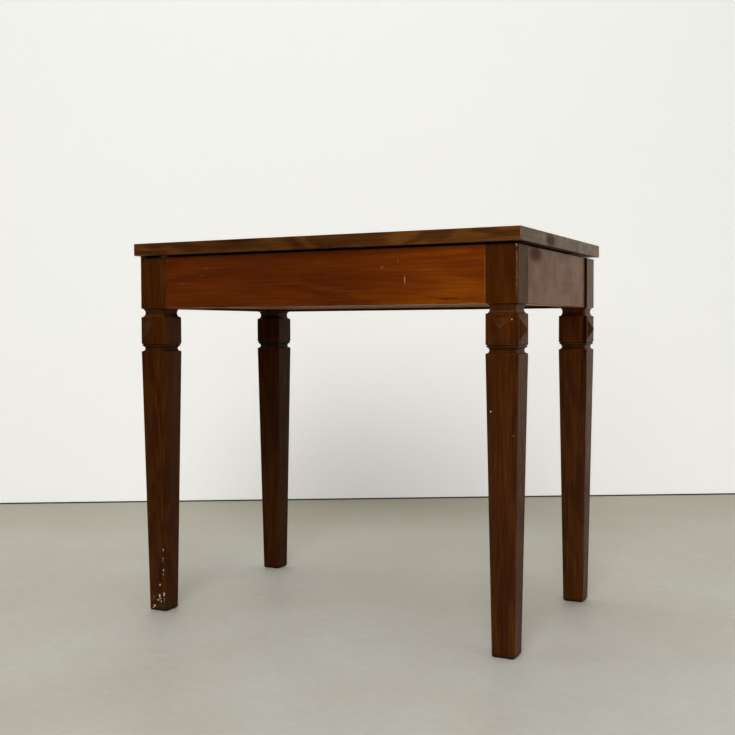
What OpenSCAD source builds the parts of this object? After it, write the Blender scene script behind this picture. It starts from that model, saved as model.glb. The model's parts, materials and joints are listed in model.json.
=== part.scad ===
// Small sewing table: four square tapered legs, a shallow compartment under a hinged lid,
// and a tray that slides over the compartment.
// Origin: on the floor under the middle of the table. +X right, +Y to the back, +Z up.

/* [Table] */
// Width over the legs
frame_w = 643; // [560:1:780]
// Depth over the legs
frame_d = 400; // [330:1:490]
// Height to the top of the lid
table_h = 600; // [500:1:730]
// Depth of the aprons, top edge to bottom edge
apron_h = 82; // [78:1:105]

/* [Lid] */
// Thickness of the lid
lid_t = 19.5; // [16:0.5:24]
// Overhang of the lid past the legs
overhang = 6.5; // [4:0.5:7]
// Gap between the lid and the aprons
lid_gap = 3.5; // [3:0.1:4.5]
// Width of the solid lippings round the lid
lipping_w = 9; // [6:0.5:12]

/* [Legs] */
// Side of the square post and block
leg_s = 48; // [42:0.5:60]
// Side of the leg at the floor
foot_s = 34; // [26:0.5:40]
// Chamfer on the upright corners
leg_chamfer = 2.5; // [1:0.1:3]
// Chamfer round the foot
foot_chamfer = 3; // [1:0.5:4]
// Height of the cove under the post
upper_cove_h = 13.5; // [12:0.5:18]
// Depth of the cove under the post
upper_cove_d = 4.8; // [3:0.1:6]
// Height of the block
block_h = 44; // [40:1:55]
// Height of the bead and quirk under the block
bead_h = 3; // [2:0.5:4]
// Height of the cove under the block
lower_cove_h = 8.5; // [8:0.5:14]
// Depth of the cove under the block
lower_cove_d = 4.2; // [3:0.1:5]
// Width of the pyramid boss
boss_w = 34; // [28:0.5:34]
// Height of the pyramid boss
boss_h = 33; // [26:0.5:38]
// Rise of the pyramid boss
boss_rise = 6; // [3:0.5:6]
// How far the front left leg's front boss sits towards the table's corner
front_left_boss_shift = 4; // [0:0.5:4]

/* [Aprons] */
// Thickness of the aprons
apron_t = 18; // [16:0.5:22]
// Set-back of the aprons behind the legs
apron_recess = 3; // [2.7:0.1:4]
// Thickness of the tenons
tenon_t = 8; // [6:0.5:9]
// Height of the tenons
tenon_h = 58; // [40:1:60]
// Length of the tenons
tenon_l = 18; // [12:1:20]
// Easing of the bottom outer edge
apron_ease = 1; // [0.5:0.1:2]

/* [Compartment] */
// Thickness of the bottom panel
bottom_t = 4; // [3:0.5:6]
// Height of the bottom panel above the apron's bottom edge
bottom_recess = 4; // [3:0.5:6]
// Depth of the grooves and housings in the aprons
groove_d = 5; // [3:0.5:6]
// Thickness of the fixed dividers
divider_t = 7; // [5:0.5:10]
// Height of the fixed dividers
divider_h = 25; // [18:1:26]
// Distance of the fixed dividers from the middle
divider_x = 92; // [60:1:120]

/* [Tray] */
// Width of the tray along its travel
tray_w = 210; // [160:1:240]
// Height of the tray
tray_h = 31; // [28:1:32]
// Thickness of the tray's sides
tray_side_t = 7; // [6:0.5:9]
// Thickness of the tray's bottom
tray_bottom_t = 3; // [2:0.5:4]
// Thickness of the tray's dividers
tray_divider_t = 4; // [3:0.5:6]
// Depth of the housings in the tray's sides
tray_housing = 2; // [1:0.5:3]
// Width of the runners
runner_w = 11; // [8:0.5:14]
// Height of the runners
runner_h = 9; // [8:0.5:12]
// Number of reel pegs
peg_count = 6; // [3:1:7]
// Diameter of a reel peg
peg_dia = 5; // [4:0.5:7]
// Height of a reel peg above its block
peg_h = 17; // [12:1:18]
// Thickness of the peg block
peg_block_t = 8; // [6:0.5:9]
// Width of the peg block
peg_block_w = 30; // [24:1:36]

/* [Hinges] */
// Length of a hinge
hinge_l = 60; // [50:1:75]
// Distance of each hinge from the middle of the side
hinge_y = 95; // [70:1:105]
// Width of a hinge leaf on the wood
leaf_w = 14; // [12:0.5:15]
// Thickness of a hinge leaf
leaf_t = 1.3; // [1:0.1:1.4]
// Outer diameter of the knuckles
knuckle_dia = 5.2; // [4.6:0.1:5.4]
// Diameter of the hinge pin
hinge_pin_dia = 2.4; // [2:0.1:2.6]
// Shank diameter of the hinge screws
screw_dia = 3; // [2.5:0.1:3]
// Head diameter of the hinge screws
screw_head_dia = 5.4; // [5:0.1:5.6]
// Length of the hinge screws
screw_l = 13; // [10:1:15]
// Diameter of the felt bumpers
bumper_dia = 11; // [8:0.5:14]
// Width of the felt strips on the left posts
felt_w = 8; // [6:1:12]
// Distance from a felt strip to the faces of its post
felt_edge = 1; // [0.5:0.5:2]

/* [Clearances] */
// Gap round glued joints
glue_gap = 0.1; // [0.05:0.05:0.2]
// Running gap of the tray, on each side
run_gap = 0.7; // [0.4:0.1:1]
// Gap between parts that rest on each other
rest_gap = 0.2; // [0.1:0.05:0.3]
// Radial gap of pins in knuckles and screws in holes
pin_gap = 0.05; // [0.03:0.01:0.08]
// Gap between a knuckle and the wood or the next knuckle
knuckle_gap = 0.3; // [0.2:0.05:0.4]

/* [Hidden] */
$fn = 48;
eps = 0.01;

// Heights
lid_z = table_h - lid_t;
post_z = lid_z - lid_gap;
apron_z = post_z - apron_h;
block_top = apron_z - upper_cove_h;
block_bottom = block_top - block_h;
bead_bottom = block_bottom - bead_h;
taper_top = bead_bottom - lower_cove_h;
bottom_z = apron_z + bottom_recess;
floor_z = bottom_z + bottom_t;
runner_z = floor_z + divider_h + 2 * rest_gap;
tray_z = runner_z + runner_h + rest_gap;

// Leg centres and the compartment's inner faces
leg_x = frame_w / 2 - leg_s / 2;
leg_y = frame_d / 2 - leg_s / 2;
apron_out_x = frame_w / 2 - apron_recess;
apron_out_y = frame_d / 2 - apron_recess;
inner_x = apron_out_x - apron_t;
inner_y = apron_out_y - apron_t;
span_x = frame_w - 2 * leg_s;
span_y = frame_d - 2 * leg_s;
tenon_z = apron_z + (apron_h - tenon_h) / 2;

// Tray, parked against the left legs
tray_d = 2 * (inner_y - run_gap);
tray_x = -span_x / 2 + run_gap + tray_w / 2;
tray_inner_w = tray_w - 2 * tray_side_t;
tray_inner_d = tray_d - 2 * tray_side_t;
tray_floor = tray_z + tray_bottom_t;
peg_row_y = -tray_inner_d / 2 + peg_block_w / 2 + glue_gap;
long_divider_y = peg_row_y + peg_block_w / 2 + glue_gap + tray_divider_t / 2;

// Hinge line: the knuckles lie just outside the left apron, between apron and lid
pin_x = -(apron_out_x + knuckle_gap + knuckle_dia / 2);
pin_z = post_z + lid_gap / 2;
knuckles = 5;
knuckle_l = hinge_l / knuckles;
leaf_reach = leaf_w + knuckle_dia / 2 + knuckle_gap;
screw_x = pin_x + leaf_reach - leaf_w / 2 - 0.5;
screw_pitch = hinge_l / 3;
screw_head_t = (screw_head_dia - screw_dia) / 2;

// Lid
top_w = frame_w + 2 * overhang;
top_d = frame_d + 2 * overhang;
core_w = top_w - 2 * lipping_w;
core_d = top_d - 2 * lipping_w;

// Colours
leg_colour = [0.20, 0.11, 0.05];
apron_colour = [0.40, 0.19, 0.06];
lid_colour = [0.28, 0.17, 0.08];
ply_colour = [0.66, 0.50, 0.34];
beech_colour = [0.72, 0.54, 0.34];
brass_colour = [0.72, 0.58, 0.30];
felt_colour = [0.22, 0.26, 0.20];

// ---- Legs ----

// Points of a cove that is bulge deep, from height z0 up to z1, on a face at half width half
cove_steps = 10;
function cove(half, bulge, z0, z1) = [
    for (i = [0 : cove_steps])
        let (a = 180 * i / cove_steps)
        [half - bulge * sin(a), (z0 + z1) / 2 - (z1 - z0) / 2 * cos(a)]
];

// Half widths up the leg; the shoulders beside each cove are eased a little
shoulder = 0.8;
half_post = leg_s / 2;
leg_sides = concat(
    [[half_post, taper_top - shoulder]],
    cove(half_post - shoulder, lower_cove_d - shoulder, taper_top, bead_bottom),
    [[half_post - shoulder, bead_bottom + bead_h / 2], [half_post - 2 * shoulder, bead_bottom + bead_h / 2]],
    [[half_post - 2 * shoulder, block_bottom], [half_post - shoulder, block_bottom]],
    [[half_post, block_bottom + shoulder], [half_post, block_top - shoulder]],
    cove(half_post - shoulder, upper_cove_d - shoulder, block_top, apron_z),
    [[half_post, apron_z + shoulder], [half_post, post_z]]
);

chamfered_foot = [[foot_s / 2 - foot_chamfer, 0], [foot_s / 2, foot_chamfer]];
plain_foot = [[foot_s / 2, 0]];

// A slab with the leg's outline on both edges, turned about the leg's axis.
// Across the corners it is root two wider, less the chamfer.
module leg_slab(angle, foot, across = 1, cut = 0) {
    right = [for (p = concat(foot, leg_sides)) [p[0] * across - cut, p[1]]];
    left = [for (i = [len(right) - 1 : -1 : 0]) [-right[i][0], right[i][1]]];
    rotate([0, 0, angle]) rotate([90, 0, 0])
        linear_extrude(height = 2 * leg_s, center = true) polygon(concat(right, left));
}

// Four-sided pyramid standing on the face y = -half_post, its middle at x
module boss(x) {
    sink = 0.1;
    slope_w = boss_w / 2 / boss_rise;
    slope_h = boss_h / 2 / boss_rise;
    translate([x, -half_post, (block_top + block_bottom) / 2]) intersection() {
        linear_extrude(height = boss_h + 2 * sink * slope_h, center = true)
            polygon([[-boss_w / 2 - sink * slope_w, sink], [0, -boss_rise], [boss_w / 2 + sink * slope_w, sink]]);
        rotate([90, 0, 90]) linear_extrude(height = boss_w + 2 * sink * slope_w, center = true)
            polygon([[sink, -boss_h / 2 - sink * slope_h], [-boss_rise, 0], [sink, boss_h / 2 + sink * slope_h]]);
    }
}

// Mortises for the aprons on the leg's two inner faces, for a leg at the front left
module mortises() {
    cheek = -half_post + apron_recess + (apron_t - tenon_t) / 2 - glue_gap;
    size = [tenon_l + 1, tenon_t + 2 * glue_gap, tenon_h + 2 * glue_gap];
    translate([half_post - tenon_l - 1 + eps, cheek, tenon_z - glue_gap]) cube(size);
    translate([cheek, half_post - tenon_l - 1 + eps, tenon_z - glue_gap]) cube([size[1], size[0], size[2]]);
}

// A leg as it stands at the front left; side and back say how far it is mirrored
module leg(side, back, boss_shift = 0) {
    root2 = sqrt(2);
    color(leg_colour) translate([side * leg_x, back * leg_y, 0])
        mirror([side > 0 ? 1 : 0, 0, 0]) mirror([0, back > 0 ? 1 : 0, 0])
        difference() {
            union() {
                intersection() {
                    leg_slab(0, chamfered_foot);
                    leg_slab(90, chamfered_foot);
                    leg_slab(45, plain_foot, root2, leg_chamfer / root2);
                    leg_slab(-45, plain_foot, root2, leg_chamfer / root2);
                }
                boss(-boss_shift);
                mirror([1, -1, 0]) boss(0);
            }
            mortises();
        }
}

module leg_front_left() { leg(-1, -1, front_left_boss_shift); }
module leg_front_right() { leg(1, -1); }
module leg_rear_left() { leg(-1, 1); }
module leg_rear_right() { leg(1, 1); }

// ---- Aprons and compartment ----

// An apron of the given span, lying along X with its outer face at y = 0, towards -y
module apron(span) {
    difference() {
        union() {
            translate([-span / 2, 0, apron_z]) cube([span, apron_t, apron_h]);
            translate([-span / 2 - tenon_l, (apron_t - tenon_t) / 2, tenon_z])
                cube([span + 2 * tenon_l, tenon_t, tenon_h]);
        }
        translate([0, 0, apron_z]) rotate([45, 0, 0])
            cube([span + 2 * eps, apron_ease * sqrt(2), apron_ease * sqrt(2)], center = true);
        translate([-span / 2 - eps, apron_t - groove_d, bottom_z - glue_gap])
            cube([span + 2 * eps, groove_d + eps, bottom_t + 2 * glue_gap]);
    }
}

// Housings for the fixed dividers in a long apron
module divider_housings() {
    for (side = [-1, 1])
        translate([side * divider_x - divider_t / 2 - glue_gap, apron_t - groove_d, floor_z])
            cube([divider_t + 2 * glue_gap, groove_d + eps, divider_h + glue_gap]);
}

// Holes for the runner screws, in the apron's own frame
runner_screw_x = [for (i = [-1 : 1]) i * span_x / 3];
runner_screw_l = runner_w + apron_t / 2;
module runner_screw_hole(x) {
    translate([x, apron_t + runner_w + eps, runner_z + runner_h / 2]) rotate([90, 0, 0])
        cylinder(d = screw_dia + 2 * pin_gap, h = runner_screw_l + 0.5);
}

module long_apron() {
    difference() {
        apron(span_x);
        divider_housings();
        for (x = runner_screw_x) runner_screw_hole(x);
    }
}

module apron_front() { color(apron_colour) translate([0, -apron_out_y, 0]) long_apron(); }
module apron_rear() { color(apron_colour) rotate([0, 0, 180]) translate([0, -apron_out_y, 0]) long_apron(); }

module apron_right() { color(apron_colour) rotate([0, 0, 90]) translate([0, -apron_out_x, 0]) apron(span_y); }

module apron_left() {
    color(apron_colour) difference() {
        rotate([0, 0, -90]) translate([0, -apron_out_x, 0]) apron(span_y);
        for (y = hinge_screw_y) translate([screw_x, y, post_z - screw_l])
            cylinder(d = screw_dia + 2 * pin_gap, h = screw_l + eps);
    }
}

// The bottom lies in the aprons' grooves and is notched round the legs
module bottom_panel() {
    reach_x = inner_x + groove_d - glue_gap;
    reach_y = inner_y + groove_d - glue_gap;
    notch_x = span_x / 2 - glue_gap;
    notch_y = span_y / 2 - glue_gap;
    color(ply_colour) translate([0, 0, bottom_z]) linear_extrude(height = bottom_t) union() {
        square([2 * reach_x, 2 * notch_y], center = true);
        square([2 * notch_x, 2 * reach_y], center = true);
    }
}

module divider(side) {
    length = 2 * (inner_y + groove_d - glue_gap);
    color(beech_colour) translate([side * divider_x - divider_t / 2, -length / 2, floor_z])
        cube([divider_t, length, divider_h]);
}
module divider_left() { divider(-1); }
module divider_right() { divider(1); }

// A runner lies against the front apron's inner face, with its screws driven from inside
module runner() {
    difference() {
        translate([-span_x / 2 + glue_gap, -inner_y, runner_z]) cube([span_x - 2 * glue_gap, runner_w, runner_h]);
        translate([0, -apron_out_y, 0]) for (x = runner_screw_x) {
            runner_screw_hole(x);
            translate([x, apron_t + runner_w + eps, runner_z + runner_h / 2]) rotate([90, 0, 0])
                cylinder(d1 = screw_head_dia + 2 * pin_gap, d2 = screw_dia + 2 * pin_gap, h = screw_head_t);
        }
    }
}
module tray_runner_front() { color(beech_colour) runner(); }
module tray_runner_rear() { color(beech_colour) rotate([0, 0, 180]) runner(); }

// A countersunk screw with its head's face at the origin, pointing down, with a slot
module screw(length) {
    slot_w = 0.8;
    slot_d = 0.7;
    difference() {
        rotate_extrude() polygon([
            [0, 0], [screw_head_dia / 2, 0], [screw_dia / 2, -screw_head_t],
            [screw_dia / 2, 1.5 - length], [0, -length]
        ]);
        translate([-screw_head_dia, -slot_w / 2, -slot_d]) cube([2 * screw_head_dia, slot_w, 2 * slot_d]);
    }
}

module runner_screws() {
    color(brass_colour) for (turn = [0, 180]) rotate([0, 0, turn]) for (x = runner_screw_x)
        translate([x, -inner_y + runner_w, runner_z + runner_h / 2])
            rotate([-90, 0, 0]) rotate([0, 0, 35]) screw(runner_screw_l - 0.5);
}

// ---- Hinges ----

hinge_centres = [-hinge_y, hinge_y];
hinge_screw_y = [for (c = hinge_centres) for (i = [-1 : 1]) c + i * screw_pitch];

// Knuckles first, first + 2 and so on, round the hinge line
module knuckle_row(centre, first) {
    for (i = [first : 2 : knuckles - 1])
        translate([pin_x, centre - hinge_l / 2 + i * knuckle_l + knuckle_gap / 2, pin_z])
            rotate([-90, 0, 0]) cylinder(d = knuckle_dia, h = knuckle_l - knuckle_gap);
}

// Room round the knuckles that this leaf must leave free
module knuckle_room(centre, first) {
    for (i = [first : 2 : knuckles - 1])
        translate([pin_x, centre - hinge_l / 2 + i * knuckle_l - knuckle_gap / 2, pin_z])
            rotate([-90, 0, 0]) cylinder(d = knuckle_dia + 2 * knuckle_gap, h = knuckle_l + knuckle_gap);
}

// A leaf with its plate between z0 and z0 + leaf_t; up is 1 when the screw heads face up
module hinge_leaf(centre, z0, first, up) {
    head_z = up > 0 ? z0 + leaf_t : z0;
    color(brass_colour) difference() {
        union() {
            translate([pin_x, centre - hinge_l / 2 + knuckle_gap / 2, z0])
                cube([leaf_reach, hinge_l - knuckle_gap, leaf_t]);
            knuckle_row(centre, first);
        }
        knuckle_room(centre, 1 - first);
        translate([pin_x, centre - hinge_l, pin_z]) rotate([-90, 0, 0])
            cylinder(d = hinge_pin_dia + 2 * pin_gap, h = 2 * hinge_l);
        for (i = [-1 : 1]) translate([screw_x, centre + i * screw_pitch, head_z])
            mirror([0, 0, up > 0 ? 0 : 1]) {
                translate([0, 0, -screw_head_t]) cylinder(
                    d1 = screw_dia + 2 * pin_gap, d2 = screw_head_dia + 2 * pin_gap, h = screw_head_t + eps);
                translate([0, 0, -2 * leaf_t]) cylinder(d = screw_dia + 2 * pin_gap, h = 3 * leaf_t);
            }
    }
}
module hinge_front_frame_leaf() { hinge_leaf(-hinge_y, post_z, 0, 1); }
module hinge_rear_frame_leaf() { hinge_leaf(hinge_y, post_z, 0, 1); }
module hinge_front_lid_leaf() { hinge_leaf(-hinge_y, lid_z - leaf_t, 1, -1); }
module hinge_rear_lid_leaf() { hinge_leaf(hinge_y, lid_z - leaf_t, 1, -1); }

module hinge_pin(centre) {
    color(brass_colour) translate([pin_x, centre, pin_z]) rotate([90, 0, 0])
        cylinder(d = hinge_pin_dia, h = hinge_l, center = true);
}
module hinge_front_pin() { hinge_pin(-hinge_y); }
module hinge_rear_pin() { hinge_pin(hinge_y); }

module hinge_frame_screws() {
    color(brass_colour) for (i = [0 : len(hinge_screw_y) - 1])
        translate([screw_x, hinge_screw_y[i], post_z + leaf_t]) rotate([0, 0, 25 * i]) screw(screw_l);
}
module hinge_lid_screws() {
    color(brass_colour) for (i = [0 : len(hinge_screw_y) - 1])
        translate([screw_x, hinge_screw_y[i], lid_z - leaf_t]) mirror([0, 0, 1])
            rotate([0, 0, 40 * i]) screw(screw_l);
}

module lid_bumpers() {
    color(felt_colour) for (side = [-1, 1])
        translate([apron_out_x - apron_t / 2, side * span_y / 4, post_z])
            cylinder(d = bumper_dia, h = lid_gap - rest_gap);
}

// Felt strips that close the gap under the lid at the outer edge of the left posts
module post_felts() {
    color(felt_colour) for (side = [-1, 1])
        translate([-frame_w / 2 + felt_edge, side * leg_y - leg_s / 2 + felt_edge, post_z])
            cube([felt_w, leg_s - 2 * felt_edge, lid_gap - rest_gap]);
}

// ---- Lid ----

// Relief for the knuckles and holes for the screws, from below
module lid_cuts() {
    for (centre = hinge_centres) translate([pin_x, centre, pin_z]) rotate([90, 0, 0])
        cylinder(d = knuckle_dia + 2 * knuckle_gap, h = hinge_l + 2 * knuckle_gap, center = true);
    for (y = hinge_screw_y) translate([screw_x, y, lid_z - eps])
        cylinder(d = screw_dia + 2 * pin_gap, h = screw_l);
}

module lid_panel() {
    color(lid_colour) difference() {
        translate([-core_w / 2, -core_d / 2, lid_z]) cube([core_w, core_d, lid_t]);
        lid_cuts();
    }
}

// A mitred lipping along X, on the front edge of a lid that is w wide and d deep
module lipping(w, d) {
    translate([0, 0, lid_z]) linear_extrude(height = lid_t) polygon([
        [-w / 2, -d / 2], [w / 2, -d / 2],
        [w / 2 - lipping_w, -d / 2 + lipping_w], [-w / 2 + lipping_w, -d / 2 + lipping_w]
    ]);
}
module lid_lipping_front() { color(lid_colour) lipping(top_w, top_d); }
module lid_lipping_rear() { color(lid_colour) rotate([0, 0, 180]) lipping(top_w, top_d); }
module lid_lipping_right() { color(lid_colour) rotate([0, 0, 90]) lipping(top_d, top_w); }
module lid_lipping_left() {
    color(lid_colour) difference() {
        rotate([0, 0, -90]) lipping(top_d, top_w);
        lid_cuts();
    }
}

// ---- Tray ----

// A tray side runs the tray's full depth, rebated for the ends, grooved for the dividers
module tray_side(side) {
    notch_w = 70;
    notch_h = 9;
    face = side > 0 ? -tray_w / 2 : tray_w / 2;
    color(beech_colour) translate([tray_x, 0, 0]) difference() {
        translate([side * (tray_w - tray_side_t) / 2, 0, tray_z + tray_h / 2])
            cube([tray_side_t, tray_d, tray_h], center = true);
        translate([0, 0, tray_z]) cube(
            [tray_inner_w + 2 * tray_housing, tray_inner_d + 2 * tray_housing, 2 * tray_bottom_t], center = true);
        for (end = [-1, 1]) translate([0, end * (tray_d - tray_side_t) / 2, tray_z + tray_h / 2])
            cube([tray_w - tray_side_t, tray_side_t + 2 * glue_gap, tray_h + 2], center = true);
        translate([0, long_divider_y, tray_floor + tray_h / 2])
            cube([tray_inner_w + 2 * tray_housing, tray_divider_t + 2 * glue_gap, tray_h], center = true);
        translate([0, 0, tray_z + tray_h]) rotate([90, 0, 90]) linear_extrude(height = 2 * tray_w, center = true)
            intersection() {
                scale([1, 2 * notch_h / notch_w]) circle(d = notch_w, $fn = 12);
                square([notch_w, 2 * notch_h], center = true);
            }
    }
}
module tray_side_left() { tray_side(-1); }
module tray_side_right() { tray_side(1); }

module tray_end(end) {
    color(beech_colour) translate([tray_x, 0, 0]) difference() {
        translate([0, end * (tray_d - tray_side_t) / 2, tray_z + tray_h / 2])
            cube([tray_w - tray_side_t - 2 * glue_gap, tray_side_t, tray_h], center = true);
        translate([0, 0, tray_z]) cube(
            [tray_inner_w + 2 * tray_housing, tray_inner_d + 2 * tray_housing, 2 * tray_bottom_t], center = true);
        translate([0, 0, tray_floor + tray_h / 2])
            cube([tray_divider_t + 2 * glue_gap, tray_inner_d + 2 * tray_housing, tray_h], center = true);
    }
}
module tray_end_front() { tray_end(-1); }
module tray_end_rear() { tray_end(1); }

module tray_bottom() {
    color(ply_colour) translate([tray_x, 0, tray_z + tray_bottom_t / 2])
        cube([tray_inner_w + 2 * (tray_housing - glue_gap), tray_inner_d + 2 * (tray_housing - glue_gap),
              tray_bottom_t], center = true);
}

divider_top = tray_z + tray_h - 4;
divider_span_h = divider_top - tray_floor;

module tray_divider_long() {
    color(beech_colour) translate([tray_x, long_divider_y, 0]) difference() {
        translate([0, 0, tray_floor + divider_span_h / 2])
            cube([tray_inner_w + 2 * (tray_housing - glue_gap), tray_divider_t, divider_span_h], center = true);
        translate([0, 0, divider_top])
            cube([tray_divider_t + 2 * glue_gap, 2 * tray_divider_t, divider_span_h], center = true);
    }
}

// The cross divider runs from the rear end to the long divider, lapped over it
module tray_divider_cross() {
    rear_y = tray_inner_d / 2 + tray_housing - glue_gap;
    front_y = long_divider_y - tray_divider_t / 2;
    length = rear_y - front_y;
    color(beech_colour) translate([tray_x, front_y + length / 2, 0]) difference() {
        translate([0, 0, tray_floor + divider_span_h / 2])
            cube([tray_divider_t, length, divider_span_h], center = true);
        translate([0, -length / 2, tray_floor])
            cube([2 * tray_divider_t, 2 * (tray_divider_t + glue_gap), divider_span_h + glue_gap], center = true);
    }
}

// Block with turned pegs for reels of thread, in the tray's front section
peg_depth = 5;
peg_pitch = (tray_inner_w - peg_block_w) / (peg_count - 1);
peg_x = [for (i = [0 : peg_count - 1]) tray_x + (i - (peg_count - 1) / 2) * peg_pitch];

module peg_block() {
    color(beech_colour) difference() {
        translate([tray_x, peg_row_y, tray_floor + peg_block_t / 2])
            cube([tray_inner_w - 2 * glue_gap, peg_block_w, peg_block_t], center = true);
        for (x = peg_x) translate([x, peg_row_y, tray_floor + peg_block_t - peg_depth])
            cylinder(d = peg_dia + 2 * pin_gap, h = peg_depth + 1);
    }
}

module reel_pegs() {
    tip = 1;
    color(beech_colour) for (x = peg_x) translate([x, peg_row_y, tray_floor + peg_block_t - peg_depth])
        rotate_extrude() polygon([
            [0, 0], [peg_dia / 2, 0], [peg_dia / 2, peg_depth + peg_h - tip],
            [peg_dia / 2 - tip, peg_depth + peg_h], [0, peg_depth + peg_h]
        ]);
}

leg_front_left();
leg_front_right();
leg_rear_left();
leg_rear_right();
apron_front();
apron_rear();
apron_left();
apron_right();
bottom_panel();
divider_left();
divider_right();
tray_runner_front();
tray_runner_rear();
runner_screws();
lid_panel();
lid_lipping_front();
lid_lipping_rear();
lid_lipping_left();
lid_lipping_right();
hinge_front_frame_leaf();
hinge_rear_frame_leaf();
hinge_front_lid_leaf();
hinge_rear_lid_leaf();
hinge_front_pin();
hinge_rear_pin();
hinge_frame_screws();
hinge_lid_screws();
lid_bumpers();
post_felts();
tray_side_left();
tray_side_right();
tray_end_front();
tray_end_rear();
tray_bottom();
tray_divider_long();
tray_divider_cross();
peg_block();
reel_pegs();
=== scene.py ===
import json
from math import cos, radians, sin

import bmesh
import bpy
from mathutils import Matrix, Vector
from mathutils.geometry import intersect_point_line


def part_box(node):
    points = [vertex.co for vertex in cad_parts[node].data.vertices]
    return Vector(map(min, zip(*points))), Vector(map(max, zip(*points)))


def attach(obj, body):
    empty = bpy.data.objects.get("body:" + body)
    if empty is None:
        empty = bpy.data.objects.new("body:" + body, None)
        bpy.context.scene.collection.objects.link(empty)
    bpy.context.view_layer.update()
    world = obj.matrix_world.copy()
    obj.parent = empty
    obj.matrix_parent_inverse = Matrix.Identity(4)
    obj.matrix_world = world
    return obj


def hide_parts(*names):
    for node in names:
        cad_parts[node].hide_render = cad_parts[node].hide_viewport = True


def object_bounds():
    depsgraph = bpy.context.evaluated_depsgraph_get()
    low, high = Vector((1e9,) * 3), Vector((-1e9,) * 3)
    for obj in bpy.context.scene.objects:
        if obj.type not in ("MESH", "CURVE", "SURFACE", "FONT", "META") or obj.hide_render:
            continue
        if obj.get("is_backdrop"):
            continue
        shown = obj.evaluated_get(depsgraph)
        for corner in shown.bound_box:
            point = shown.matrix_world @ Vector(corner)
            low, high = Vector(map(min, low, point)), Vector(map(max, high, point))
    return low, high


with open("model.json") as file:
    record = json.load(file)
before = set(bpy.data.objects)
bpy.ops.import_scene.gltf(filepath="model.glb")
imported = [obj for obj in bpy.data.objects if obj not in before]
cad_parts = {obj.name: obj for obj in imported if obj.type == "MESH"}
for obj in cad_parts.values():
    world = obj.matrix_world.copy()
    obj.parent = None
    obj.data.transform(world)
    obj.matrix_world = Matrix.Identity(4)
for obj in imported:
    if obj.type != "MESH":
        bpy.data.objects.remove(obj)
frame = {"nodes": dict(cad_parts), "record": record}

CAD_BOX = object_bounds()

# The camera, from a fit to the straight edges of the table: metres, radians and millimetres
CAMERA_PLACE = Vector((0.7974, -1.6114, 0.4592))
CAMERA_TURN = 0.4635
CAMERA_TILT = -0.0347
CAMERA_ROLL = -0.0034
CAMERA_LENS = 52.93

# The room, in metres: a pale wall behind the table, which slants a little, and its floor
WALL_DISTANCE = 2.92
WALL_SLANT = 0.063
WALL_HEIGHT = 3.2
FLOOR_NEAR = 4.0
HALF_WIDTH = 4.5

# How the wall, floor and surroundings look; MIRRORED is what the varnish shows of them
WALL_GLOW = 0.465
WALL_MIRRORED = (0.84, 0.76, 0.63, 1)
# A painted shadow of the table, on the wall and floor round this place, and how dark it makes
# each
TABLE_SHADOW_CENTRE = (-0.47, 0.98, 0)
WALL_PAINTED_SHADOW = (0.76, 0.76, 0.75, 1)
FLOOR_PAINTED_SHADOW = (0.72, 0.71, 0.68, 1)
ROOM_DIM = (0.012, 0.010, 0.008, 1)
ROOM_ABOVE = (0.30, 0.30, 0.29, 1)
ROOM_MIRRORED = (2.4, 2.25, 2.1, 1)

VARNISH_IOR = 1.33

# Colours of marks and of painted shade, and how far into a corner the dirt and painted shade
# reach
CREAM = (228, 216, 196)
CORNER_DIRT_AND_SHADE = (0.004, 0.002, 0.001, 1)
PAINTED_SHADE = (22, 14, 10)
BARE_EDGE = (150, 102, 58)
UNDERSIDE_BROWN = (112, 74, 42)
GROOVE_REACH = 0.008

# Arrises: how far they are rounded, and which edges count as one
LEG_ROUNDING = 0.0006
APRON_ROUNDING = 0.0005
LIPPING_ROUNDING = 0.0006
INNER_ROUNDING = 0.0004
PANEL_ROUNDING = 0.0003
VENEER_ROUNDING = 0.0002
ROUNDING_STEPS = 3
SHARP_EDGE = radians(40)
LEAST_TURN = radians(18)
FLAT_ENOUGH = radians(0.5)
SAME_CORNER = 2e-6
LEAST_LENGTH = 6
LEAST_ROOM = 2.9
BROAD_FACE = 4


def linear(red, green, blue):
    """A screen colour from 0 to 255 as the linear colour that a shader takes."""
    def one(value):
        value /= 255
        return value / 12.92 if value <= 0.04045 else ((value + 0.055) / 1.055) ** 2.4
    return (one(red), one(green), one(blue), 1.0)


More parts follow.
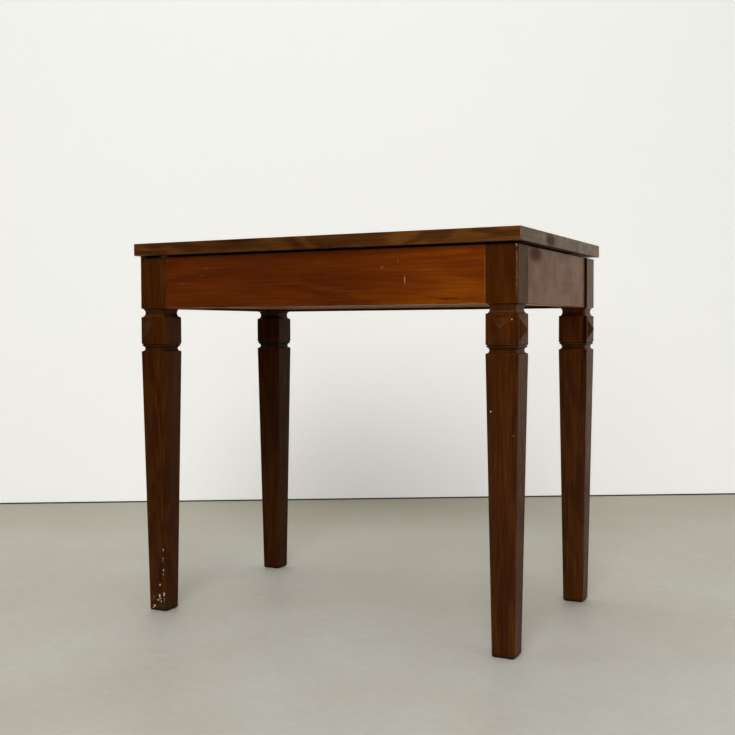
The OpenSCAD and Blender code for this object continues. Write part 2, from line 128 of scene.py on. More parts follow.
class Nodes:
    """Short names for the nodes of one material or of the world."""

    def __init__(self, owner):
        owner.use_nodes = True
        self.tree = owner.node_tree
        self.tree.nodes.clear()
        self.place = self.node("ShaderNodeTexCoord").outputs["Object"]

    def node(self, kind, inputs=(), **settings):
        node = self.tree.nodes.new(kind)
        for key, value in settings.items():
            setattr(node, key, value)
        for key, value in dict(inputs).items():
            self.feed(node.inputs[key], value)
        return node

    def feed(self, socket, value):
        """Links another node's output, or sets a plain number, vector or colour."""
        if isinstance(value, bpy.types.NodeSocket):
            self.tree.links.new(value, socket)
        else:
            socket.default_value = value

    def math(self, operation, a, b=0.0, clamp=False):
        node = self.node("ShaderNodeMath", {0: a, 1: b}, operation=operation, use_clamp=clamp)
        return node.outputs[0]

    def vector(self, operation, a, b=(0, 0, 0)):
        node = self.node("ShaderNodeVectorMath", {0: a, 1: b}, operation=operation)
        return node.outputs["Value" if operation in ("LENGTH", "DOT_PRODUCT") else "Vector"]

    def axis(self, vector, letter):
        return self.node("ShaderNodeSeparateXYZ", {0: vector}).outputs[letter]

    def remap(self, value, low, high, to_low=0.0, to_high=1.0):
        """value from low to high becomes to_low to to_high, softly and clamped."""
        sockets = {"Value": value, "From Min": low, "From Max": high,
                   "To Min": to_low, "To Max": to_high}
        node = self.node("ShaderNodeMapRange", sockets, interpolation_type="SMOOTHSTEP")
        return node.outputs["Result"]

    def noise(self, vector, scale, detail=3.0, roughness=0.5, distortion=0.0):
        sockets = {"Vector": vector, "Scale": scale, "Detail": detail,
                   "Roughness": roughness, "Distortion": distortion}
        return self.node("ShaderNodeTexNoise", sockets).outputs[0]

    def mix(self, amount, a, b, blend="MIX"):
        node = self.node("ShaderNodeMix", data_type="RGBA", blend_type=blend)
        for index, value in ((0, amount), (6, a), (7, b)):
            self.feed(node.inputs[index], value)
        return node.outputs[2]

    def ramp(self, value, *stops):
        """Colours along value, each stop a pair of position and colour."""
        node = self.node("ShaderNodeValToRGB", {0: value})
        points = node.color_ramp.elements
        while len(points) < len(stops):
            points.new(0.5)
        for point, (position, colour) in zip(points, stops):
            point.position = position
            point.color = colour
        return node.outputs["Color"]

    def stretched(self, grain, times):
        """Coordinates in which everything is drawn out along the grain."""
        scale = [1 / times if letter == grain else 1.0 for letter in "XYZ"]
        node = self.node("ShaderNodeMapping", {"Vector": self.place, "Scale": scale})
        return node.outputs["Vector"]

    def spot(self, centre, radii, soft=0.5):
        """1 inside an ellipsoid round centre, fading to 0 at its surface."""
        away = self.vector("SUBTRACT", self.place, tuple(centre))
        away = self.vector("DIVIDE", away, tuple(radii))
        return self.remap(self.vector("LENGTH", away), 1.0, 1.0 - soft)

    def arris(self, width):
        """1 on the very edges of the shape, 0 a little way in."""
        rounded = self.node("ShaderNodeBevel", {"Radius": width}, samples=4).outputs[0]
        flat = self.node("ShaderNodeNewGeometry").outputs["Normal"]
        return self.remap(self.vector("DOT_PRODUCT", rounded, flat), 0.995, 0.90)

    def hollow(self, reach):
        """1 deep in grooves and inner corners, 0 on open faces."""
        open_sky = self.node("ShaderNodeAmbientOcclusion", {"Distance": reach}, samples=6)
        return self.remap(open_sky.outputs["AO"], 0.95, 0.55)

    def bump(self, height, distance, strength=1.0, under=None):
        sockets = {"Height": height, "Distance": distance, "Strength": strength}
        if under is not None:
            sockets["Normal"] = under
        return self.node("ShaderNodeBump", sockets).outputs["Normal"]


class Shader(Nodes):
    """A material with one shader."""

    def __init__(self, name):
        self.material = bpy.data.materials.new(name)
        super().__init__(self.material)
        self.surface = self.node("ShaderNodeBsdfPrincipled")
        self.node("ShaderNodeOutputMaterial", {"Surface": self.surface.outputs["BSDF"]})

    def set(self, **values):
        """Feeds the shader itself; base_color is its Base Color."""
        for key, value in values.items():
            words = [w if w == "IOR" else w.capitalize() for w in key.split("_")]
            self.feed(self.surface.inputs[" ".join(words)], value)


def wood(name, grain, tones, figure=0.1, rings=60.0, cloud=0.5, clouds=7.0, drawn=6.0,
         streaks=0.5, pores=0.5, fine=1.0, rough=(0.35, 0.55), coat=0.4, coat_rough=0.25,
         specular=0.3, worn=0.3, corner_dirt_and_shade=0.0, bands=0.0, uneven=0.0, marks=()):
    """Varnished wood with its grain along one axis; tones run from dark to light."""
    s = Shader(name)
    dark, middle, light, bare = (linear(*tone) for tone in tones)
    broad = s.stretched(grain, drawn)
    slow = s.noise(broad, clouds, 3.0, 0.55)
    contour = s.math("MULTIPLY", s.noise(broad, clouds * 0.8, 2.0, 0.4, 0.6), rings)
    ring = s.remap(s.math("SINE", contour), -1.0, 1.0)
    fibre = s.noise(s.stretched(grain, 40.0), 1500.0 * fine, 4.0, 0.65)
    streak = s.noise(s.stretched(grain, 25.0), 260.0 * fine, 3.0, 0.6)
    pore = s.remap(s.noise(s.stretched(grain, 14.0), 1900.0 * fine, 1.0, 0.4), 0.60, 0.70)
    band = s.noise(s.stretched(grain, 45.0), 560.0 * fine, 2.0, 0.6)

    level = 0.5
    for part, share in ((slow, cloud), (ring, figure), (streak, streaks), (band, bands),
                        (fibre, 0.25)):
        level = s.math("ADD", level, s.math("MULTIPLY", s.math("SUBTRACT", part, 0.5), share))
    colour = s.ramp(level, (0.3, dark), (0.5, middle), (0.7, light))
    colour = s.mix(s.math("MULTIPLY", pore, pores), colour, dark)

    edge = s.math("MULTIPLY", s.arris(0.0022), s.remap(s.noise(s.place, 90.0, 4.0), 0.42, 0.62))
    colour = s.mix(s.math("MULTIPLY", edge, worn), colour, bare)
    dull = s.remap(s.noise(s.place, 24.0, 4.0, 0.6), 0.35, 0.7, *rough)
    dull = s.math("ADD", dull, s.math("MULTIPLY", s.math("SUBTRACT", fibre, 0.5), 0.12))
    dull = s.math("ADD", dull, s.math("MULTIPLY", edge, 0.2), clamp=True)
    # Grooves and inner corners are darkened by ambient occlusion: dirt in the grooves, and
    # painted shade
    if corner_dirt_and_shade:
        colour = s.mix(s.math("MULTIPLY", s.hollow(GROOVE_REACH), corner_dirt_and_shade), colour, CORNER_DIRT_AND_SHADE)
    s.gloss = coat
    if uneven:
        s.gloss = s.math("MULTIPLY", coat, s.remap(band, 0.32, 0.68, 1 - uneven, 1 + uneven))
    for mark in marks:
        colour, dull = mark(s, colour, dull)

    height = s.math("SUBTRACT", s.math("MULTIPLY", fibre, 0.5), s.math("MULTIPLY", pore, 0.8))
    lumps = s.noise(s.place, 45.0, 2.0)
    normal = s.bump(lumps, 0.0006, 0.35)
    normal = s.bump(height, 0.00012, 0.6, normal)
    s.set(base_color=colour, roughness=dull, normal=normal, coat_weight=s.gloss,
          coat_roughness=coat_rough, coat_IOR=VARNISH_IOR, specular_IOR_level=specular)
    return s.material


def brass():
    """Old brass, browned in patches and rubbed bright on the knuckles."""
    s = Shader("aged_brass")
    cloud = s.noise(s.place, 160.0, 5.0, 0.65)
    tarnish = s.ramp(cloud, (0.35, linear(74, 52, 26)), (0.55, linear(150, 116, 58)),
                     (0.75, linear(190, 158, 92)))
    colour = s.mix(s.arris(0.0006), tarnish, linear(214, 184, 118))
    scratches = s.noise(s.stretched("Y", 30.0), 2600.0, 2.0)
    dull = s.remap(cloud, 0.3, 0.7, 0.55, 0.28)
    dull = s.math("ADD", dull, s.math("MULTIPLY", scratches, 0.1))
    s.set(base_color=colour, metallic=1.0, roughness=dull,
          normal=s.bump(scratches, 0.00004, 0.5))
    return s.material


def felt():
    """Short matted green-brown felt, made dark; on the posts it fills the gap under the lid and
    stands in for the shade there.
    """
    s = Shader("bumper_felt")
    hair = s.noise(s.place, 2200.0, 5.0, 0.7, 1.5)
    clump = s.noise(s.place, 420.0, 3.0)
    colour = s.ramp(s.math("ADD", s.math("MULTIPLY", hair, 0.6), s.math("MULTIPLY", clump, 0.4)),
                    (0.3, linear(20, 24, 17)), (0.7, linear(52, 57, 41)))
    s.set(base_color=colour, roughness=s.remap(clump, 0.3, 0.7, 0.85, 1.0),
          sheen_weight=0.2, sheen_roughness=0.5, normal=s.bump(hair, 0.0003, 0.8))
    return s.material


def room_beside(edge, face):
    """How close the face's other edges come to the middle of this one."""
    middle = (edge.verts[0].co + edge.verts[1].co) / 2
    gaps = []
    for other in face.edges:
        if other != edge:
            start, end = (corner.co for corner in other.verts)
            share = intersect_point_line(middle, start, end)[1]
            gaps.append((middle - start.lerp(end, min(max(share, 0.0), 1.0))).length)
    return min(gaps)


def is_inner_corner(edge, width):
    """Whether an edge is where two broad faces meet inwards, such as the foot of a boss."""
    if not edge.is_manifold or edge.is_convex or edge.calc_face_angle(0) < LEAST_TURN:
        return False
    return all(face.calc_area() / edge.calc_length() > BROAD_FACE * width
               for face in edge.link_faces)


def is_arris(edge, width):
    """Whether an edge stands out, and has the room to be rounded."""
    if not edge.is_manifold or not edge.is_convex or edge.calc_face_angle(0) < LEAST_TURN:
        return False
    room = min(room_beside(edge, face) for face in edge.link_faces)
    return edge.calc_length() > LEAST_LENGTH * width and room > LEAST_ROOM * width


def eased(node, width):
    """The node's shape again, with its arrises rounded as sanding and varnish leave them."""
    mesh = frame["nodes"][node].data.copy()
    for layer in ("custom_normal", "sharp_edge", "sharp_face"):
        if layer in mesh.attributes:
            mesh.attributes.remove(mesh.attributes[layer])
    mesh.materials.clear()
    shape = bmesh.new()
    shape.from_mesh(mesh)
    bmesh.ops.remove_doubles(shape, verts=shape.verts, dist=SAME_CORNER)
    bmesh.ops.dissolve_limit(shape, angle_limit=FLAT_ENOUGH, verts=shape.verts,
                             edges=shape.edges)
    for edge in shape.edges:
        edge.smooth = not is_inner_corner(edge, width)
    arrises = [edge for edge in shape.edges if is_arris(edge, width)]
    bmesh.ops.bevel(shape, geom=arrises, offset=width, offset_type="OFFSET",
                    segments=ROUNDING_STEPS, profile=0.5, affect="EDGES", clamp_overlap=False)
    for face in shape.faces:
        face.smooth = True
    for edge in shape.edges:
        if edge.calc_face_angle(0) > SHARP_EDGE:
            edge.smooth = False
    shape.to_mesh(mesh)
    shape.free()
    piece = bpy.data.objects.new(node + "_eased", mesh)
    bpy.context.scene.collection.objects.link(piece)
    weighted = piece.modifiers.new("flat faces stay flat", "WEIGHTED_NORMAL")
    weighted.keep_sharp = True
    return piece


def finish_piece(node, body, material, width):
    """Puts an eased, finished piece in the place of one CAD node."""
    piece = eased(node, width)
    piece.data.materials.append(material)
    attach(piece, body)
    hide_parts(node)


def paint(node, material):
    """Gives a CAD node that stays its finish."""
    for slot in frame["nodes"][node].material_slots:
        slot.material = material


def chips(centre, radii, grit, colour=CREAM, spread=0.42):
    """Flecks of another colour, thickest at the centre."""
    def mark(s, tone, dull):
        flecks = s.math("MULTIPLY", s.noise(s.place, grit, 4.0, 0.7), 2.0)
        near = s.spot(centre, radii, 0.9)
        amount = s.remap(s.math("ADD", flecks, s.math("MULTIPLY", near, spread)), 1.22, 1.34)
        amount = s.math("MULTIPLY", amount, s.remap(near, 0.0, 0.25))
        return s.mix(amount, tone, linear(*colour)), s.math("ADD", dull, s.math(
            "MULTIPLY", amount, 0.3), clamp=True)
    return mark


def smudge(centre, radii, colour, amount, ragged=0.5):
    """A soft patch that tints the wood, with a ragged edge."""
    def mark(s, tone, dull):
        edge = s.remap(s.noise(s.place, 0.6 / max(min(radii), 0.001), 3.0), 0.3, 0.6,
                       1.0 - ragged, 1.0)
        near = s.math("MULTIPLY", s.math("MULTIPLY", s.spot(centre, radii, 0.8), edge), amount)
        return s.mix(near, tone, linear(*colour)), dull
    return mark


def dull_dark_patch(centre, radii, colour, amount):
    """A darker patch with less varnish."""
    def mark(s, tone, dull):
        near = s.math("MULTIPLY", s.spot(centre, radii, 0.8), amount)
        s.gloss = s.math("MULTIPLY", s.gloss, s.math("SUBTRACT", 1.0, near))
        return s.mix(near, tone, linear(*colour)), s.math("ADD", dull, near, clamp=True)
    return mark


def tinted_past(letter, start, end, colour, amount):
    """Another colour from one place to another along one axis, and on past it."""
    def mark(s, tone, dull):
        inside = s.remap(s.axis(s.place, letter), start, end)
        return s.mix(s.math("MULTIPLY", inside, amount), tone, linear(*colour)), dull
    return mark


def polished_past(letter, start, end, factor):
    """More or less varnish from one place to another along one axis, and on past it."""
    def mark(s, tone, dull):
        inside = s.remap(s.axis(s.place, letter), start, end, 1.0, factor)
        s.gloss = s.math("MULTIPLY", s.gloss, inside)
        return tone, dull
    return mark


def lighter_along(letter, start, end, factors):
    """The wood grows lighter along one axis."""
    def mark(s, tone, dull):
        amount = s.remap(s.axis(s.place, letter), start, end)
        return s.mix(1.0, tone, s.mix(amount, (1, 1, 1, 1), (*factors, 1)), "MULTIPLY"), dull
    return mark


def cup_ring(x, y, radius):
    """A faint pale ring that a wet cup left in the varnish."""
    top = CAD_BOX[1].z

    def mark(s, tone, dull):
        away = s.vector("SUBTRACT", s.place, (x, y, top))
        off = s.math("ABSOLUTE", s.math("SUBTRACT", s.vector("LENGTH", away), radius))
        ring = s.math("MULTIPLY", s.remap(off, 0.0022, 0.0008),
                      s.remap(s.noise(s.place, 34.0, 3.0), 0.42, 0.60))
        on_top = s.remap(s.axis(s.place, "Z"), top - 0.002, top - 0.001)
        ring = s.math("MULTIPLY", ring, on_top)
        return (s.mix(s.math("MULTIPLY", ring, 0.22), tone, linear(176, 132, 92)),
                s.math("ADD", dull, s.math("MULTIPLY", ring, 0.15), clamp=True))
    return mark


def scuffs(s, tone, dull):
    """Fine scratches across the grain, lighter and duller than the varnish."""
    turned = s.node("ShaderNodeMapping", {"Vector": s.place, "Rotation": (0, 0, 0.9),
                                          "Scale": (1, 0.03, 1)}).outputs["Vector"]
    line = s.remap(s.noise(turned, 420.0, 2.0, 0.5), 0.70, 0.74)
    line = s.math("MULTIPLY", line, s.remap(s.noise(s.place, 16.0, 2.0), 0.5, 0.62))
    return (s.mix(s.math("MULTIPLY", line, 0.35), tone, linear(150, 108, 72)),
            s.math("ADD", dull, s.math("MULTIPLY", line, 0.2), clamp=True))


def shaded_between(letter, low, high, factor):
    """Painted shade on the hidden side, between two places along one axis: the colour goes
    towards black.
    """
    def mark(s, tone, dull):
        where = s.axis(s.place, letter)
        inside = s.math("MULTIPLY", s.math("GREATER_THAN", where, low),
                        s.math("LESS_THAN", where, high))
        return s.mix(s.math("MULTIPLY", inside, 1 - factor), tone, (0, 0, 0, 1)), dull
    return mark


def lower_face(z):
    """The start and end of a mark that covers only a piece's lower face, which is at z."""
    return z + 0.0006, z + 0.0003


LEG_TONES = ((54, 21, 3), (75, 36, 5), (94, 50, 12), (132, 92, 60))
APRON_TONES = ((72, 24, 1), (90, 35, 2), (111, 50, 4), (160, 104, 56))
# Lighter tones for the side aprons: painted light, for the light that falls on the side faces
LIT_SIDE_APRON_TONES = ((88, 34, 5), (106, 46, 10), (128, 60, 16), (160, 104, 56))
LIPPING_TONES = ((52, 24, 6), (78, 43, 11), (102, 62, 22), (160, 118, 78))
VENEER_TONES = ((48, 24, 10), (88, 50, 24), (128, 80, 42), (150, 108, 66))
PLY_TONES = ((120, 84, 54), (158, 118, 80), (186, 148, 108), (200, 168, 130))
BEECH_TONES = ((150, 100, 58), (184, 136, 88), (208, 164, 116), (220, 184, 142))


def mount_place(name):
    """Where the record puts one of its mounts, such as the middle of a foot."""
    return next(m["pos_m"] for m in frame["record"]["mounts"] if m["name"] == name)


def leg_marks(corner):
    """Painted shade under the lid, a painted highlight on the front left post, a painted shadow
    at the rear right joint, and what wear, paint and smudges each leg has.
    """
    foot = Vector(mount_place("foot_" + corner))

    def at(x, z, y=-0.0180):
        return foot + Vector((x, y, z))

    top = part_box("leg_" + corner)[1].z
    # Painted shade on the top few millimetres of each leg, under the lid
    painted_shade_under_lid = tinted_past("Z", top - 0.004, top - 0.0005, PAINTED_SHADE, 0.55)
    if corner == "front_left":
        # Each fleck's place across the foot and up it, its two radii, and how thick it is
        flecks = ((0.0133, 0.1015, 0.0013, 0.0042, 0.42), (0.0127, 0.0880, 0.0016, 0.0032, 0.40),
                  (0.0117, 0.0832, 0.0014, 0.0026, 0.26), (0.0129, 0.0680, 0.0015, 0.0034, 0.46),
                  (0.0123, 0.0620, 0.0012, 0.0040, 0.28), (0.0054, 0.0436, 0.0017, 0.0034, 0.60),
                  (0.0131, 0.0290, 0.0022, 0.0060, 0.44), (0.0041, 0.0257, 0.0028, 0.0038, 0.50),
                  (0.0052, 0.0212, 0.0040, 0.0022, 0.42), (0.0006, 0.0180, 0.0034, 0.0018, 0.38),
                  (0.0074, 0.0162, 0.0018, 0.0024, 0.46), (-0.0058, 0.0080, 0.0036, 0.0026, 0.44),
                  (-0.0090, 0.0050, 0.0026, 0.0022, 0.40), (0.0138, 0.0200, 0.0016, 0.0036, 0.30))
        marks = [chips(at(x, z), (across, 0.006, along), 640.0, spread=much)
                 for x, z, across, along, much in flecks]
        marks.insert(0, smudge(at(0.0098, 0.010), (0.015, 0.016, 0.013), (58, 54, 28), 0.8))
        marks.insert(0, smudge(at(-0.0072, 0.022), (0.005, 0.010, 0.008), (112, 74, 54), 0.5))
        # A painted highlight down the post's right arris, and painted shade under the lid
        marks += [smudge(at(0.0237, top - 0.030, -0.0237), (0.0016, 0.003, 0.034),
                         (104, 84, 74), 0.6), painted_shade_under_lid]
        return marks
    if corner == "front_right":
        return (chips(at(-0.0157, 0.3454, -0.022), (0.0013, 0.005, 0.0015), 900.0, spread=1.0),
                chips(at(0.0170, 0.3133, -0.021), (0.0012, 0.005, 0.0024), 900.0,
                      (140, 100, 54), 0.8),
                chips(at(0.0156, 0.4731, -0.026), (0.0012, 0.005, 0.0012), 900.0, spread=1.0),
                chips(at(0.0223, top - 0.034, -0.0238), (0.0015, 0.003, 0.060), 620.0,
                      (142, 118, 92), 0.30),
                chips(at(0.0219, top - 0.0015, -0.0237), (0.0026, 0.003, 0.004), 700.0,
                      (168, 150, 120), 0.7),
                smudge(at(0.0226, top - 0.040, -0.0237), (0.0026, 0.003, 0.070),
                       (92, 68, 46), 0.3), painted_shade_under_lid)
    if corner == "rear_right":
        # A painted shadow down the post's front face, in the corner where it stands proud of the
        # right apron
        joint = smudge(at(0.0230, top - 0.041, -0.0240), (0.0075, 0.003, 0.30),
                       (12, 5, 2), 1.0, ragged=0.0)
        apron_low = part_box("apron_right")[0].z
        return (joint, painted_shade_under_lid, polished_past("Z", apron_low - 0.002, apron_low, 1.8))
    return (painted_shade_under_lid,)


def shaded_copy(tones, factor):
    """The same tones made darker: partly painted shade, deepest on the rear left leg under the
    table, and partly wood that differs in tone from leg to leg.
    """
    return tuple(tuple(factor * value for value in tone) for tone in tones)


def legs():
    # Each leg's tones are darkened by its shade factor, partly as painted shade
    for corner, shade_factor, coat in (("front_left", 0.90, 0.17), ("front_right", 0.97, 0.25),
                                ("rear_left", 0.76, 0.13), ("rear_right", 0.94, 0.31)):
        material = wood("leg_wood_" + corner, "Z", shaded_copy(LEG_TONES, shade_factor), cloud=0.5,
                        clouds=16.0, drawn=7.0, streaks=0.35, coat=coat, coat_rough=0.2,
                        specular=0.02, rough=(0.4, 0.6), corner_dirt_and_shade=0.9, bands=0.5,
                        uneven=0.6, marks=leg_marks(corner))
        finish_piece("leg_" + corner, "frame", material, LEG_ROUNDING)


def apron_marks(side):
    """The painted shade on the inner side and under the lid, the lighter right end and the dents
    of the front, and so on.
    """
    low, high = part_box("apron_" + side)
    inner = {"front": ("Y", low.y + 0.004, high.y + 0.001),
             "rear": ("Y", low.y - 0.001, high.y - 0.004),
             "left": ("X", low.x + 0.004, high.x + 0.001),
             "right": ("X", low.x - 0.001, high.x - 0.004)}
    # Painted shade on the hidden inner side and along the top under the lid; the lower face is
    # bare wood with little varnish
    marks = [shaded_between(*inner[side], 0.3),
             tinted_past("Z", high.z - 0.005, high.z - 0.0005, PAINTED_SHADE, 0.4),
             tinted_past("Z", *lower_face(low.z), BARE_EDGE, 0.5),
             polished_past("Z", *lower_face(low.z), 0.2)]
    if side == "front":
        face, bottom = low.y, low.z
        marks += [lighter_along("X", 0.02, 0.26, (1.75, 2.0, 1.4)),
                  smudge((0.217, face, bottom + 0.008), (0.022, 0.004, 0.0022), (70, 8, 2), 0.8),
                  smudge((0.190, face, bottom + 0.0105), (0.012, 0.004, 0.0012), (70, 8, 2), 0.5),
                  smudge((0.1505, face, bottom + 0.036), (0.0014, 0.004, 0.008),
                         (196, 140, 84), 0.9),
                  smudge((0.1400, face, bottom + 0.063), (0.0012, 0.004, 0.005),
                         (160, 96, 44), 0.5),
                  smudge((0.1147, face, bottom + 0.0545), (0.004, 0.004, 0.0035),
                         (156, 96, 48), 0.55),
                  smudge((-0.1948, face, bottom + 0.062), (0.006, 0.004, 0.002),
                         (140, 84, 36), 0.4),
                  smudge((-0.2012, face, bottom + 0.051), (0.0045, 0.004, 0.0014),
                         (150, 96, 40), 0.5),
                  smudge((-0.2402, face, bottom + 0.039), (0.010, 0.004, 0.0014),
                         (140, 84, 36), 0.35),
                  smudge((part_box("leg_front_right")[0].x - 0.0008, face, bottom + 0.041),
                         (0.0012, 0.004, 0.06), (170, 112, 60), 0.4)]
    if side == "right":
        marks.append(dull_dark_patch((high.x, -0.112, low.z + 0.072), (0.006, 0.040, 0.016),
                                (60, 38, 28), 0.6))
    return marks


def aprons():
    for side, grain in (("front", "X"), ("rear", "X"), ("left", "Y"), ("right", "Y")):
        long_side = grain == "X"
        # The side aprons take the lighter tones, which are painted light
        material = wood("apron_wood_" + side, grain,
                        APRON_TONES if long_side else LIT_SIDE_APRON_TONES,
                        cloud=0.4 if long_side else 0.2, clouds=14.0, drawn=5.0,
                        streaks=0.45 if long_side else 0.2, pores=0.25, coat=0.37,
                        coat_rough=0.14, specular=0.1, marks=apron_marks(side))
        finish_piece("apron_" + side, "frame", material, APRON_ROUNDING)


def lipping_marks(side):
    """A rubbed near corner, a dull lower face, and the darker patch on the right edge."""
    low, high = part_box("lid_lipping_" + side)
    corner = (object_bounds()[1].x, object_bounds()[0].y, (low.z + high.z) / 2)
    marks = [chips(corner, (0.0018, 0.0018, 0.012), 700.0, (150, 96, 66), 0.5),
             polished_past("Z", *lower_face(low.z), 0.05)]
    if side == "front":
        marks.append(lighter_along("X", -0.30, 0.30, (1.15, 1.15, 1.2)))
    if side == "right":
        marks.append(dull_dark_patch((high.x, -0.0712, low.z + 0.009), (0.006, 0.030, 0.014),
                                (58, 36, 26), 0.6))
    return marks


def lid():
    for side, grain in (("front", "X"), ("rear", "X"), ("left", "Y"), ("right", "Y")):
        material = wood("lipping_wood_" + side, grain, LIPPING_TONES, figure=0.2, rings=40.0,
                        cloud=0.7, clouds=22.0, drawn=4.0, coat=0.46, coat_rough=0.18,
                        specular=0.1, marks=lipping_marks(side))
        finish_piece("lid_lipping_" + side, "lid", material,
                     LIPPING_ROUNDING)
    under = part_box("lid_panel")[0].z
    veneer = wood("lid_veneer", "X", VENEER_TONES, figure=0.12, rings=110.0, cloud=0.4,
                  clouds=7.0, drawn=11.0, streaks=0.9, pores=0.7, coat=0.5, coat_rough=0.15,
                  marks=(cup_ring(0.13, -0.05, 0.042), cup_ring(-0.16, 0.07, 0.036), scuffs,
                         polished_past("Z", *lower_face(under), 0.05)))
    finish_piece("lid_panel", "lid", veneer, VENEER_ROUNDING)


def inside():
    ply = wood("plywood", "X", PLY_TONES, coat=0.0, rough=(0.6, 0.8))
    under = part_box("bottom_panel")[0].z
    # The bottom panel's underside is given a darker, browner colour
    ply_browner_below = wood("plywood_browner_below", "X", PLY_TONES, coat=0.0, rough=(0.6, 0.8),
                   specular=0.05,
                   marks=(tinted_past("Z", under + 0.0008, under + 0.0004, UNDERSIDE_BROWN, 0.8),))
    beech_x = wood("beech_x", "X", BEECH_TONES, coat=0.1, rough=(0.5, 0.7))
    beech_y = wood("beech_y", "Y", BEECH_TONES, coat=0.1, rough=(0.5, 0.7))
    beech_z = wood("beech_z", "Z", BEECH_TONES, coat=0.1, rough=(0.5, 0.7))
    finish_piece("bottom_panel", "frame", ply_browner_below, PANEL_ROUNDING)
    for name in ("divider_left", "divider_right"):
        finish_piece(name, "frame", ply, INNER_ROUNDING)
    for name in ("tray_runner_front", "tray_runner_rear"):
        finish_piece(name, "frame", beech_x, INNER_ROUNDING)
    for name, material in (("tray_side_left", beech_y), ("tray_side_right", beech_y),
                           ("tray_end_front", beech_x), ("tray_end_rear", beech_x),
                           ("tray_divider_long", beech_y), ("tray_divider_cross", beech_x),
                           ("peg_block", beech_y), ("reel_pegs", beech_z)):
        finish_piece(name, "tray", material, INNER_ROUNDING)
    finish_piece("tray_bottom", "tray", ply, PANEL_ROUNDING)


def fittings():
    metal, pad = brass(), felt()
    for node in frame["nodes"]:
        if "hinge" in node or "screw" in node:
            paint(node, metal)
    paint("lid_bumpers", pad)
    # The felts on the posts are a dark strip in the gap under the lid, standing in for the shade
    # there
    paint("post_felts", pad)


def view_basis():
    """The camera's right, up and forward."""
    forward = Vector((-sin(CAMERA_TURN) * cos(CAMERA_TILT), cos(CAMERA_TURN) * cos(CAMERA_TILT),
                      sin(CAMERA_TILT)))
    right = Vector((cos(CAMERA_TURN), sin(CAMERA_TURN), 0))
    up = right.cross(forward)
    return (cos(CAMERA_ROLL) * right + sin(CAMERA_ROLL) * up,
            cos(CAMERA_ROLL) * up - sin(CAMERA_ROLL) * right, forward)


def camera():
    data = bpy.data.cameras.new("camera")
    data.lens = CAMERA_LENS
    holder = bpy.data.objects.new("camera", data)
    bpy.context.scene.collection.objects.link(holder)
    right, up, forward = view_basis()
    holder.matrix_world = Matrix.Translation(CAMERA_PLACE) @ Matrix(
        (right, up, -forward)).transposed().to_4x4()
    bpy.context.scene.camera = holder


def stage_plane(name, corners, material):
    """A rectangle given in metres ahead of the camera, aside from it and up from the floor."""
    ahead = Vector((-sin(CAMERA_TURN), cos(CAMERA_TURN), 0))
    aside = Vector((cos(CAMERA_TURN), sin(CAMERA_TURN), 0))
    start = Vector((CAMERA_PLACE.x, CAMERA_PLACE.y, 0))
    mesh = bpy.data.meshes.new(name)
    mesh.from_pydata([start + ahead * a + aside * b + Vector((0, 0, c)) for a, b, c in corners],
                     [], [(0, 1, 2, 3)])
    mesh.materials.append(material)
    plane = bpy.data.objects.new(name, mesh)
    bpy.context.scene.collection.objects.link(plane)
    plane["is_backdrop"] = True


def wall_ahead(aside):
    """How far ahead of the camera the wall stands, which isn't quite square to the view."""
    return WALL_DISTANCE + WALL_SLANT * aside


def floor():
    """Pale smooth floor that ends at the wall."""
    s = Shader("floor")
    cloud = s.noise(s.place, 2.2, 4.0, 0.6)
    grit = s.noise(s.place, 60.0, 4.0, 0.6)
    level = s.math("ADD", s.math("MULTIPLY", cloud, 0.75), s.math("MULTIPLY", grit, 0.25))
    tone = s.ramp(level, (0.3, linear(188, 184, 172)), (0.7, linear(211, 210, 202)))
    # The floor is painted darker towards the wall, as painted shade for the light falling off
    along = s.vector("DOT_PRODUCT", s.place, (-sin(CAMERA_TURN), cos(CAMERA_TURN), 0))
    shade = s.mix(s.remap(along, 0.3, 1.3), (1, 1, 1, 1), (0.80, 0.80, 0.76, 1))
    tone = s.mix(1.0, tone, shade, "MULTIPLY")
    # A painted shadow of the table on the floor behind it
    dim = s.math("MULTIPLY", s.spot(TABLE_SHADOW_CENTRE, (0.75, 0.50, 0.1), 1.0), 0.85)
    s.set(base_color=s.mix(dim, tone, s.mix(1.0, tone, FLOOR_PAINTED_SHADOW, "MULTIPLY")),
          roughness=s.remap(cloud, 0.3, 0.7, 0.45, 0.65), specular_IOR_level=0.3)
    stage_plane("floor", ((-FLOOR_NEAR, -HALF_WIDTH, 0), (-FLOOR_NEAR, HALF_WIDTH, 0),
                          (wall_ahead(HALF_WIDTH), HALF_WIDTH, 0),
                          (wall_ahead(-HALF_WIDTH), -HALF_WIDTH, 0)), s.material)


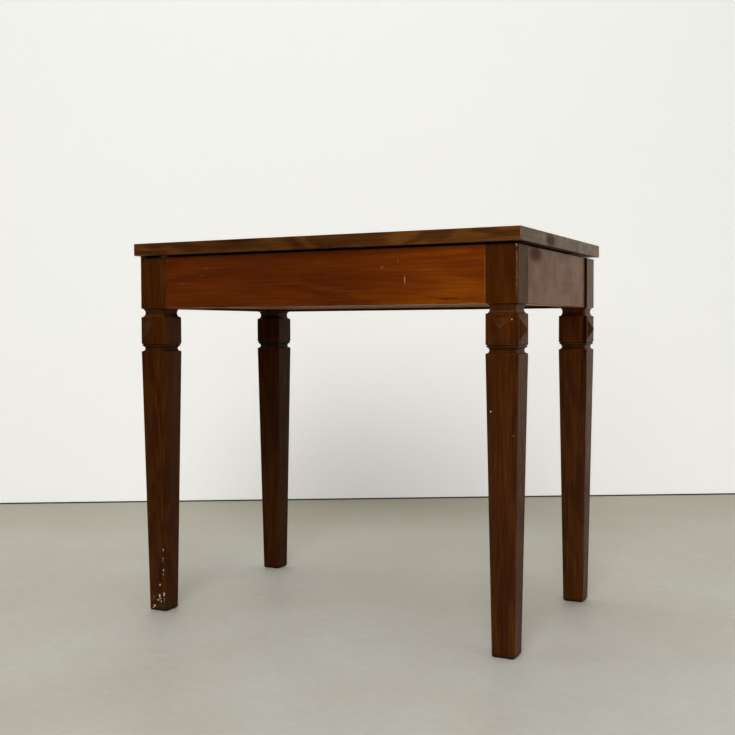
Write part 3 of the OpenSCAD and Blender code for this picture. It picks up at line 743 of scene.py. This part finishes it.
def wall():
    """White wall that is open from behind, so that the back of the table can be seen too."""
    material = bpy.data.materials.new("wall")
    s = Nodes(material)
    path = s.node("ShaderNodeLightPath").outputs
    paint_tone = s.mix(path["Is Glossy Ray"], linear(236, 236, 233), WALL_MIRRORED)
    # A painted shadow of the table, low on the wall behind it
    dim = s.spot(TABLE_SHADOW_CENTRE, (0.62, 0.62, 0.42), 1.0)
    paint_tone = s.mix(dim, paint_tone, s.mix(1.0, paint_tone, WALL_PAINTED_SHADOW, "MULTIPLY"))
    # A dark line painted at the foot of the wall, as painted shade in its joint with the floor
    joint = s.remap(s.axis(s.place, "Z"), 0.0045, 0.0025)
    paint_tone = s.mix(joint, paint_tone, (0.03, 0.03, 0.03, 1))
    glow = s.node("ShaderNodeEmission", {"Color": paint_tone, "Strength": WALL_GLOW})
    lit = s.node("ShaderNodeBsdfDiffuse", {"Color": paint_tone})
    front = s.node("ShaderNodeAddShader", {0: glow.outputs[0], 1: lit.outputs[0]})
    behind = s.node("ShaderNodeNewGeometry").outputs["Backfacing"]
    both = s.node("ShaderNodeMixShader", {0: behind, 1: front.outputs[0],
                                          2: s.node("ShaderNodeBsdfTransparent").outputs[0]})
    s.node("ShaderNodeOutputMaterial", {"Surface": both.outputs[0]})
    far_left, far_right = wall_ahead(-HALF_WIDTH), wall_ahead(HALF_WIDTH)
    stage_plane("wall", ((far_left, -HALF_WIDTH, 0), (far_right, HALF_WIDTH, 0),
                         (far_right, HALF_WIDTH, WALL_HEIGHT),
                         (far_left, -HALF_WIDTH, WALL_HEIGHT)), material)


def room():
    """Pale surroundings for the camera; dim light from the front, soft light from above."""
    world = bpy.data.worlds.new("room")
    bpy.context.scene.world = world
    s = Nodes(world)
    up = s.axis(s.node("ShaderNodeTexCoord").outputs["Generated"], "Z")
    path = s.node("ShaderNodeLightPath").outputs
    above = s.mix(path["Is Glossy Ray"], ROOM_ABOVE, ROOM_MIRRORED)
    light = s.mix(s.remap(up, 0.3, 0.65), ROOM_DIM, above)
    light = s.mix(path["Is Camera Ray"], light, linear(238, 238, 236))
    back = s.node("ShaderNodeBackground", {"Color": light})
    s.node("ShaderNodeOutputWorld", {"Surface": back.outputs[0]})


def soft_light(name, place, width, height, watts):
    """A soft light aimed at the middle of the table, which the varnish doesn't mirror."""
    data = bpy.data.lights.new(name, "AREA")
    data.shape = "RECTANGLE"
    data.size, data.size_y = width, height
    data.energy = watts
    lamp = bpy.data.objects.new(name, data)
    bpy.context.scene.collection.objects.link(lamp)
    middle = (CAD_BOX[0] + CAD_BOX[1]) / 2
    lamp.location = place
    lamp.rotation_euler = (middle - Vector(place)).to_track_quat("-Z", "Y").to_euler()
    lamp.visible_glossy = False


def lights():
    soft_light("window", (0.9, -2.7, 1.7), 1.2, 2.0, 46.0)
    soft_light("overhead", (0.2, -0.6, 2.8), 2.4, 2.4, 12.0)
    soft_light("from_the_right", (2.6, -0.7, 1.0), 1.0, 1.6, 6.0)
    view = bpy.context.scene.view_settings
    view.view_transform = "Standard"
    view.look = "None"


camera()
legs()
aprons()
lid()
inside()
fittings()
floor()
wall()
room()
lights()
